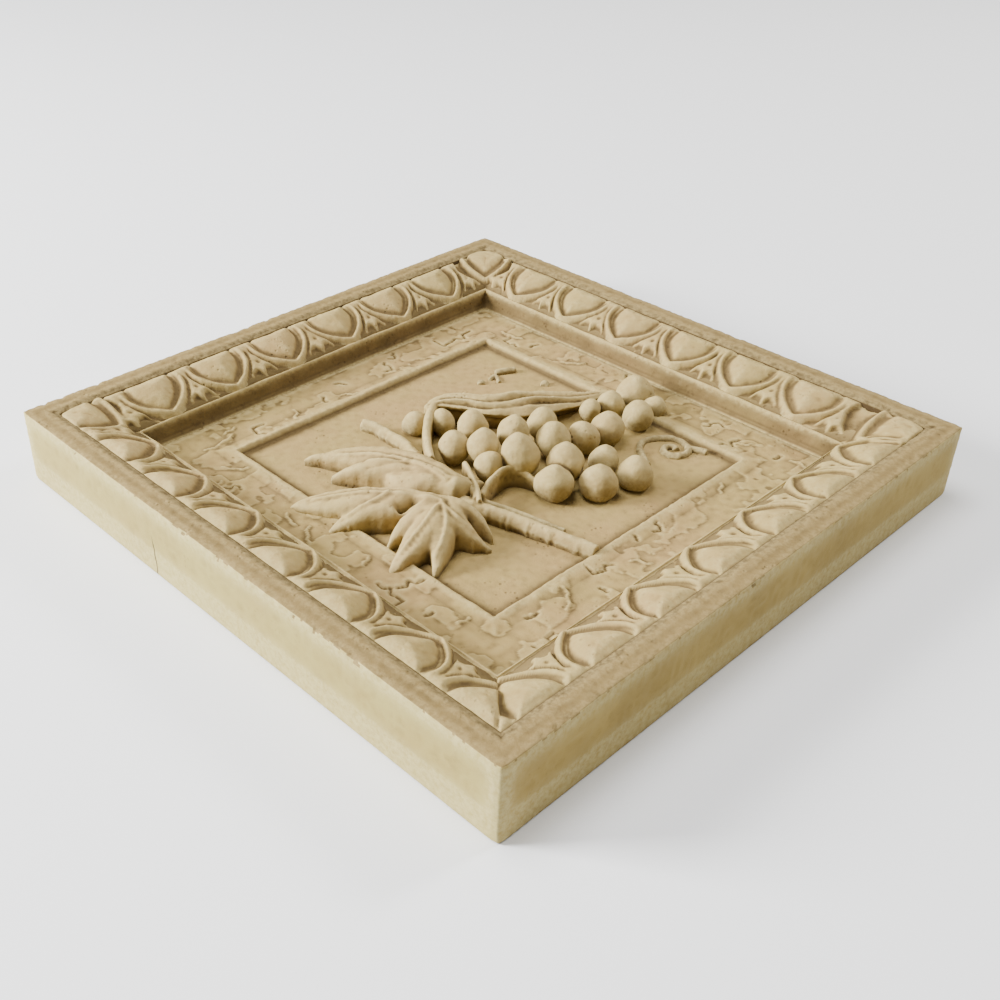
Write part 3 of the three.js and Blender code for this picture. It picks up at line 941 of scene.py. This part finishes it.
def leaf_solid(fingers, veins, holes, step=0.6, blend=1.5):
    """A leaf as a slab: its fingers flow together, its edges roll over, and its veins stand up."""
    fingers = [finger(*given) for given in fingers]
    points = np.vstack(fingers)
    low, high = np.floor(points[:, :2].min(axis=0) - 8), np.ceil(points[:, :2].max(axis=0) + 8)
    x, y = np.meshgrid(np.arange(low[0], high[0], step), np.arange(low[1], high[1], step), indexing="ij")
    flat = np.column_stack([x.ravel(), y.ravel()])
    weights, lifts, spans = np.zeros((3, len(flat)))
    for finger_points in fingers:
        line, _ = smooth_path(finger_points, 48)
        nearest = np.full(len(flat), FAR)
        height, span = np.zeros((2, len(flat)))
        for px, py, pz, half_width in line:
            outside = np.hypot(flat[:, 0] - px, flat[:, 1] - py) - max(half_width, 0.4)
            closer = outside < nearest
            nearest[closer] = outside[closer]
            height[closer] = pz
            span[closer] = max(half_width, 0.6)
        weight = np.exp(np.clip(-nearest / blend, -60, 60))
        weights += weight
        lifts += weight * height
        spans += weight * span
    outside = -blend * np.log(np.maximum(weights, 1e-30))
    ragged = np.column_stack([flat, np.zeros(len(flat))])
    outside += 0.30 * noise(ragged, 4.0, 43) + 0.15 * noise(ragged, 2.0, 44)
    for hole in holes:
        outside = np.maximum(outside, 1.3 - distance_to_path(flat, np.array(hole, float)))
    crest = lifts / np.maximum(weights, 1e-30) - PANEL
    inward = np.clip(-outside / np.maximum(spans / np.maximum(weights, 1e-30), 1.2), 0, 1)
    top = PANEL + crest * (0.60 + 0.40 * (1 - (1 - inward) ** 2.6) ** 0.6)
    for vein in veins:
        line, _ = smooth_path([(a, b, 0) for a, b in bowed(*vein, VEIN_STEPS)], 24)
        away = distance_to_path(flat, line[:, :2])
        taper = ease(0.02, 0.5, inward)
        top += taper * (0.6 * np.exp(-(away / 0.65) ** 2) - 0.3 * np.exp(-((away - 1.9) / 1.2) ** 2))
    top += 0.45 * noise(ragged, 7, 45) + 0.15 * noise(ragged, 2.6, 46)
    slope_x, slope_y = (part.ravel() for part in np.gradient(outside.reshape(x.shape), step))
    steep = np.maximum(slope_x ** 2 + slope_y ** 2, 0.05)
    past = np.where(np.abs(outside) < 1.5 * step, np.clip(outside, 0, None), 0)
    flat = flat - np.column_stack([slope_x, slope_y]) * (past / steep)[:, None]
    solid = (outside < 0).reshape(x.shape)
    cells = solid[:-1, :-1] | solid[1:, :-1] | solid[:-1, 1:] | solid[1:, 1:]
    index = np.arange(x.size).reshape(x.shape)
    tops = [(index[i, j], index[i + 1, j], index[i + 1, j + 1], index[i, j + 1])
            for i, j in zip(*np.nonzero(cells))]
    edges = {edge for a, b, c, d in tops for edge in ((a, b), (b, c), (c, d), (d, a))}
    faces = []
    for a, b, c, d in tops:
        faces += [(a, b, c, d), tuple(k + x.size for k in (d, c, b, a))]
        faces += [(q, p, p + x.size, q + x.size) for p, q in ((a, b), (b, c), (c, d), (d, a))
                  if (q, p) not in edges]
    upper = np.column_stack([flat, np.maximum(top, PANEL - 1)])
    lower = np.column_stack([flat, np.full(len(flat), ROOT)])
    return np.vstack([upper, lower]), faces


def cast_piece(name, solids, voxel, lumps, smoothing=3, painted_shade_up_to=4):
    """One cast form out of overlapping solids, with softened joints, an uneven skin, and painted shade low on
    its sides near the panel.
    """
    piece = new_piece(name, make_mesh(name, *joined(solids)))
    remesh = piece.modifiers.new("cast", "REMESH")
    remesh.mode = "VOXEL"
    remesh.voxel_size = voxel * MM
    mesh = settle(piece)
    set_places(mesh, smoothed(mesh, places_of(mesh), smoothing))
    roughen(mesh, lumps)
    places = places_of(mesh)
    places[:, 2] = np.minimum(places[:, 2], TOP)
    set_places(mesh, places)
    # Painted shade darkens the form low down, up to the given height above the panel.
    write_wear_and_painted_shade(mesh, lambda spots: ease(painted_shade_up_to, 0.2, spots[:, 2] - PANEL) * 0.85)
    return piece


def make_leaves():
    solids = [leaf_solid(*leaf) for leaf in (UPPER_LEAF, LOWER_LEAF)]
    return cast_piece("vine_leaves", solids, 0.45, [(6, 0.2, 41), (2.2, 0.08, 42)], smoothing=4)


def make_grapes():
    # The grapes get painted shade higher up their sides, under and between them.
    return cast_piece("grapes", [grape(place) for place in GRAPES], 0.58,
                      [(8, 0.6, 51), (3.4, 0.26, 52), (1.6, 0.07, 54)], smoothing=2, painted_shade_up_to=11)


def make_stems():
    low = PANEL + 2.2
    solids = [
        curled_leaf(CURLED_LEAF, 90),
        raised(CURL, lambda share: 1.6 + 1.3 * (1 - share), lambda share: 1.8, 40),
        branch([(-20, 40, 23), (-40, 32.5, 21), (-57, 28, 20.5), (-82, 21.5, 19.5)], 3.9, 90,
               (0.22, 0.34, 0.40, 0.58, 0.74, 0.9)),
        branch([(20, 27, 20), (31, 23.5, 20), (43, 22.5, 19.5), (52, 21.8, 19), (61, 23.5, 18.5)], 3.3, 50,
               (0.25, 0.48, 0.62, 0.97)),
        stem([(-24, 31, 19), (-42, 24, 17.5), (-62, 18, 16)], 1.7, 14),
        raised([(-25, 31, 22), (-22, 21, 25), (-21, 11, 25), (-26.5, 5.5, 23.5), (-34, 3.5, 19)],
               lambda share: 1.5 - 0.8 * share, lambda share: 1.2, 30),
        stem([(-4, 20, 24), (-13, 26, 26), (-23, 32, 26), (-30, 37, 24)], 1.3, 16),
        stem([(-8, 28, 22), (-17, 31, 25), (-27, 36, 24)], 1.2, 16),
        stem([(-17, 22, 20), (-20, 29, 25), (-24, 35, 24)], 1.2, 14),
        stem([(x, y, low) for x, y in tendril_path()], 1.8, 80),
        stem([(-56, -73, low), (-60, -75, low), (-66, -77, low + 0.4)], 1.6, 12),
    ]
    # Small chips stand on the panel behind the curled leaf.
    for points, radius in (
        ([(55, -61, 2.6), (50, -71, 2.6)], 1.7), ([(47, -56, 1.4), (53, -59, 1.8), (52, -54, 1.4)], 1.2),
        ([(54, -50, 1.6), (52, -48, 1.6)], 2.1), ([(31, -73, 2.0), (29, -70, 2.0)], 2.6),
    ):
        solids.append(stem([(x, y, PANEL + lift) for x, y, lift in points], radius, 8))
    return cast_piece("stems", solids, 0.5, [(5, 0.25, 61), (1.8, 0.13, 62)], smoothing=2, painted_shade_up_to=6)


# ---- finishes ----

PLASTER_SPECULAR = 0.18
CRACK_COLOUR = (0.045, 0.030, 0.012, 1)

# Each finish: its colours (base, patches, wash and painted shade, where it is rubbed), the strength of the
# wash and of the film over it all, the depth of its grain, and its pinholes.
FINISHES = {
    "washed_plaster": (
        ((0.330, 0.243, 0.087), (0.345, 0.236, 0.094), (0.105, 0.070, 0.029), (0.46, 0.37, 0.17)),
        0.85, 0.15, 0.6, 0.8),
    "vine_plaster": (
        ((0.375, 0.282, 0.110), (0.390, 0.278, 0.118), (0.100, 0.068, 0.028), (0.50, 0.41, 0.20)),
        0.95, 0.14, 0.7, 0.8),
    "rubbed_rim": (
        ((0.160, 0.108, 0.036), (0.200, 0.136, 0.049), (0.055, 0.035, 0.014), (0.33, 0.25, 0.11)),
        0.95, 0.26, 0.6, 1.0),
    "cream_side": (
        ((0.362, 0.300, 0.100), (0.325, 0.256, 0.082), (0.13, 0.09, 0.035), (0.52, 0.45, 0.22)),
        0.6, 0.12, 0.35, 0.35),
    # The side facing -X: a warmer, browner copy of the cream side, as painted shade.
    "side_in_painted_shade": (
        ((0.375, 0.270, 0.078), (0.300, 0.212, 0.062), (0.13, 0.085, 0.033), (0.52, 0.44, 0.21)),
        0.6, 0.14, 0.35, 0.35),
    "bare_back": (
        ((0.40, 0.33, 0.18), (0.34, 0.27, 0.13), (0.17, 0.12, 0.06), (0.55, 0.50, 0.35)),
        0.5, 0.22, 0.9, 1.0),
}


def mixed(tree, amount, first, second):
    """Two colours mixed by an amount; returns the colour."""
    mix = add(tree, "ShaderNodeMix", {"Factor": amount, 6: first, 7: second}, data_type="RGBA")
    return mix.outputs[2]


def ranged(tree, value, from_low, from_high, to_low, to_high):
    return add(tree, "ShaderNodeMapRange", {
        "Value": value, "From Min": from_low, "From Max": from_high, "To Min": to_low, "To Max": to_high})


def noise_node(tree, vector, scale, detail, roughness=0.5):
    return add(tree, "ShaderNodeTexNoise", {
        "Vector": vector, "Scale": scale, "Detail": detail, "Roughness": roughness})


def object_places(tree):
    return tree.nodes.new("ShaderNodeTexCoord").outputs["Object"]


def cast_skin_group():
    """The skin a mould leaves: slow mottling, fine grain, pinholes, and the bump of all three."""
    tree, given, out = new_tree("cast_skin", "ShaderNodeTree", {"Depth": "Float", "Pinholes": "Float"}, {
        "Mottle": "Float", "Grain": "Float", "Pits": "Float", "Normal": "Vector"})
    places = object_places(tree)
    mottle = noise_node(tree, places, 26.0, 5.0, 0.62)
    grain = noise_node(tree, places, 420.0, 6.0, 0.7)
    cells = add(tree, "ShaderNodeTexVoronoi", {"Vector": places, "Scale": 330.0})
    round_pits = ranged(tree, cells.outputs["Distance"], 0.10, 0.26, 1.0, 0.0)
    some = ranged(tree, noise_node(tree, places, 55.0, 2.0), 0.52, 0.64, 0.0, 1.0)
    pits = product(tree, round_pits, some, given["Pinholes"])
    uneven = add(tree, "ShaderNodeBump", {
        "Height": worked(tree, "SUBTRACT", grain, pits), "Distance": 0.0005, "Strength": given["Depth"]})
    for label, source in (("Mottle", mottle), ("Grain", grain), ("Pits", pits), ("Normal", uneven)):
        feed(tree, out.inputs[label], source)
    return tree


def antique_wash_group():
    """A thin dark wash that stays in the hollows and pinholes and is rubbed off what stands out; the painted
    shade stored with the hollows takes the wash colour too.
    """
    tree, given, out = new_tree("antique_wash", "ShaderNodeTree", {
        "Base": "Color", "Patch": "Color", "Wash": "Color", "Rubbed": "Color", "Amount": "Float",
        "Film": "Float", "Mottle": "Float", "Grain": "Float", "Pits": "Float",
    }, {"Colour": "Color", "Washed": "Float"})
    hollow, worn = (add(tree, "ShaderNodeAttribute", attribute_name=name).outputs["Fac"]
                    for name in ("hollow", "worn"))
    patch = ranged(tree, given["Mottle"], 0.40, 0.66, 0.0, 1.0)
    ground = mixed(tree, patch, given["Base"], given["Patch"])
    flecks = ranged(tree, noise_node(tree, object_places(tree), 190.0, 5.0, 0.75), 0.53, 0.70, 0.0, 1.6)
    film = worked(tree, "ADD", ranged(tree, given["Grain"], 0.38, 0.62, 0.0, 0.5), flecks)
    film = product(tree, film, given["Film"])
    # The hollows carry painted shade as well as the wash that settles there.
    settled_wash_and_painted_shade = product(tree, worked(tree, "POWER", hollow, 0.85), given["Amount"])
    washed = worked(tree, "ADD", worked(tree, "ADD", settled_wash_and_painted_shade, film), product(tree, given["Pits"], 0.55))
    washed = ranged(tree, washed, 0.0, 1.0, 0.0, 1.0)
    washed_and_painted_shade_colour = mixed(tree, washed, ground, given["Wash"])
    rubbed = product(tree, worn, ranged(tree, given["Grain"], 0.35, 0.6, 0.15, 0.7))
    feed(tree, out.inputs["Colour"], mixed(tree, rubbed, washed_and_painted_shade_colour, given["Rubbed"]))
    feed(tree, out.inputs["Washed"], washed)
    return tree


def new_material(name):
    material = bpy.data.materials.new(name)
    material.use_nodes = True
    return material, material.node_tree, material.node_tree.nodes["Principled BSDF"]


def plaster(name, skin, wash, colours, amount, film, depth, pinholes):
    """Cast plaster under an antique wash, in the wash's four colours."""
    material, tree, shader = new_material(name)
    cast = add(tree, "ShaderNodeGroup", {"Depth": depth, "Pinholes": pinholes}, node_tree=skin)
    coat = add(tree, "ShaderNodeGroup", {
        **{label: (*colour, 1) for label, colour in zip(("Base", "Patch", "Wash", "Rubbed"), colours)},
        **{label: cast.outputs[label] for label in ("Mottle", "Grain", "Pits")},
        "Amount": amount, "Film": film}, node_tree=wash)
    roughness = ranged(tree, coat.outputs["Washed"], 0.0, 1.0, 0.74, 0.95)
    for label, source in (("Base Color", coat.outputs["Colour"]), ("Normal", cast.outputs["Normal"]),
                          ("Roughness", roughness), ("Specular IOR Level", PLASTER_SPECULAR)):
        feed(tree, shader.inputs[label], source)
    return material


def add_side_crack(material, colour):
    """A fine upright crack that starts at the foot of one side and ends half way up it."""
    tree = material.node_tree
    base_colour = tree.nodes["Principled BSDF"].inputs["Base Color"]
    places = object_places(tree)
    x, y, z = add(tree, "ShaderNodeSeparateXYZ", {0: places}).outputs
    line = worked(tree, "ADD", x, product(tree, noise_node(tree, places, 90.0, 3.0), 0.006))
    away = worked(tree, "ABSOLUTE", worked(tree, "SUBTRACT", line, SIDE_CRACK * MM + 0.003), 0.0)
    crack = product(tree, ranged(tree, away, 0.0002, 0.0006, 0.85, 0.0),
                    ranged(tree, z, 0.016, 0.021, 1.0, 0.0), ranged(tree, y, 0.146, 0.148, 0.0, 1.0))
    feed(tree, base_colour, mixed(tree, crack, base_colour.links[0].from_socket, colour))


# ---- the studio ----

# Each light: its name, place in metres, size, power and tint.
LIGHTS = (
    ("window", (1.15, 1.3, 0.75), 0.6, 120, (1.0, 0.98, 0.93)),
    ("room_light", (-0.45, -1.5, 1.25), 0.4, 26, (1.0, 0.96, 0.88)),
    ("ceiling_light", (0.6, 0.3, 2.4), 1.3, 66, (1.0, 0.98, 0.95)),
)


def make_studio():
    mesh = bpy.data.meshes.new("table")
    mesh.from_pydata([(-3, -3, 0), (3, -3, 0), (3, 3, 0), (-3, 3, 0)], [], [(0, 1, 2, 3)])
    table = new_piece("table", mesh)
    material, _, shader = new_material("pale_table")
    shader.inputs["Base Color"].default_value = (0.88, 0.91, 0.97, 1)
    shader.inputs["Roughness"].default_value = 0.6
    mesh.materials.append(material)
    world = bpy.data.worlds.new("room")
    world.use_nodes = True
    background = world.node_tree.nodes["Background"].inputs
    background["Color"].default_value = (1.0, 0.94, 0.84, 1)
    background["Strength"].default_value = 0.30
    bpy.context.scene.world = world
    for name, place, size, power, tint in LIGHTS:
        light = bpy.data.lights.new(name, "AREA")
        light.size = size
        light.energy = power
        light.color = tint
        lamp = new_piece(name, light)
        lamp.location = place
        lamp.rotation_euler = (-Vector(place)).to_track_quat("-Z", "Y").to_euler()


def make_camera():
    """The camera looks down at the plaque over one corner, a little rolled and shifted."""
    camera = bpy.data.cameras.new("camera")
    camera.lens = 44.28
    camera.sensor_width = 36
    camera.shift_x = 0.0643
    camera.clip_start = 0.02
    eye = new_piece("camera", camera)
    eye.location = (-0.32586, 0.34991, 0.31682)
    forward = Vector((0.593, -0.575, -0.5635))
    roll = math.radians(0.51)
    turn = forward.to_track_quat("-Z", "Y").to_matrix()
    right, up = turn.col[0].copy(), turn.col[1].copy()
    turn.col[0] = right * math.cos(roll) + up * math.sin(roll)
    turn.col[1] = up * math.cos(roll) - right * math.sin(roll)
    eye.rotation_euler = turn.to_euler()
    bpy.context.scene.camera = eye


# ---- the plaque ----

make_camera()
make_studio()
skin_group, wash_group = cast_skin_group(), antique_wash_group()
finishes = {name: plaster(name, skin_group, wash_group, *look) for name, look in FINISHES.items()}
add_side_crack(finishes["cream_side"], CRACK_COLOUR)
washed, vine = [finishes["washed_plaster"]], [finishes["vine_plaster"]]
body = make_body()
moulding = make_moulding(*washed)
field = make_field(*washed)
cove = make_cove()
leaves = make_leaves()
grapes = make_grapes()
stems = make_stems()

for piece, materials in (
    (body, [finishes[name] for name in ("rubbed_rim", "cream_side", "bare_back", "side_in_painted_shade")]),
    (moulding, washed), (cove, washed), (field, washed), (leaves, vine), (grapes, vine), (stems, vine),
):
    piece.data.materials.clear()
    for material in materials:
        piece.data.materials.append(material)
    if piece == body:
        finish_body(piece.data)
    piece.data.shade_smooth()
    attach(piece, "root")
    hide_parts("plaque")
